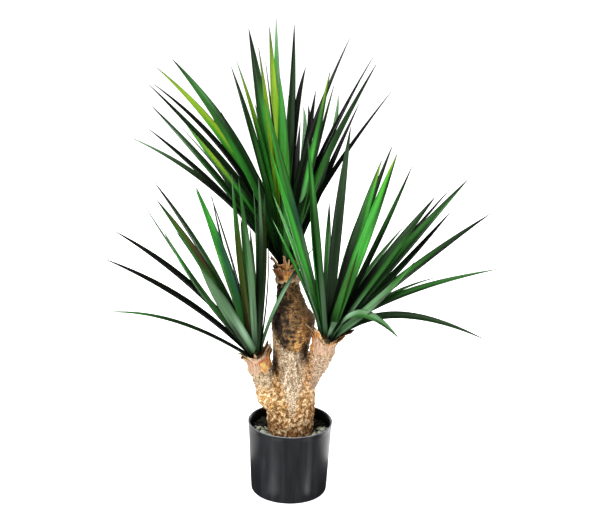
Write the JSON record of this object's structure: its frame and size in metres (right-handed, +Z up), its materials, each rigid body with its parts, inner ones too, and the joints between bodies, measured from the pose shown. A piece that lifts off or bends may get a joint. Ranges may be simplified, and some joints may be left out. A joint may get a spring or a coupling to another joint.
{
  "type": "potted yucca",
  "caption": "Young yucca in a plain round nursery pot: a thick cut cane with side stubs, torn dry sheaths and heads of long sword-shaped leaves.",
  "frame": {"origin": "middle of the pot's flat bottom, on the surface that the plant stands on", "axes": "+Z up along the pot's axis, -Y towards the front, +X to the right as seen from the front"},
  "size_m": [0.7595, 0.3723, 0.954],
  "materials": {
    "pot_plastic": "satin",
    "soil": "matte",
    "bark": "matte",
    "dry_sheath": "matte",
    "leaf": "satin"
  },
  "bodies": {
    "root": {"pot": "pot_plastic", "soil": "soil", "trunk": "bark", "sheath_top": "dry_sheath", "sheath_left": "dry_sheath", "sheath_right": "dry_sheath", "leaves_top": "leaf", "leaves_left": "leaf", "leaves_right": "leaf"}
  },
  "joints": []
}
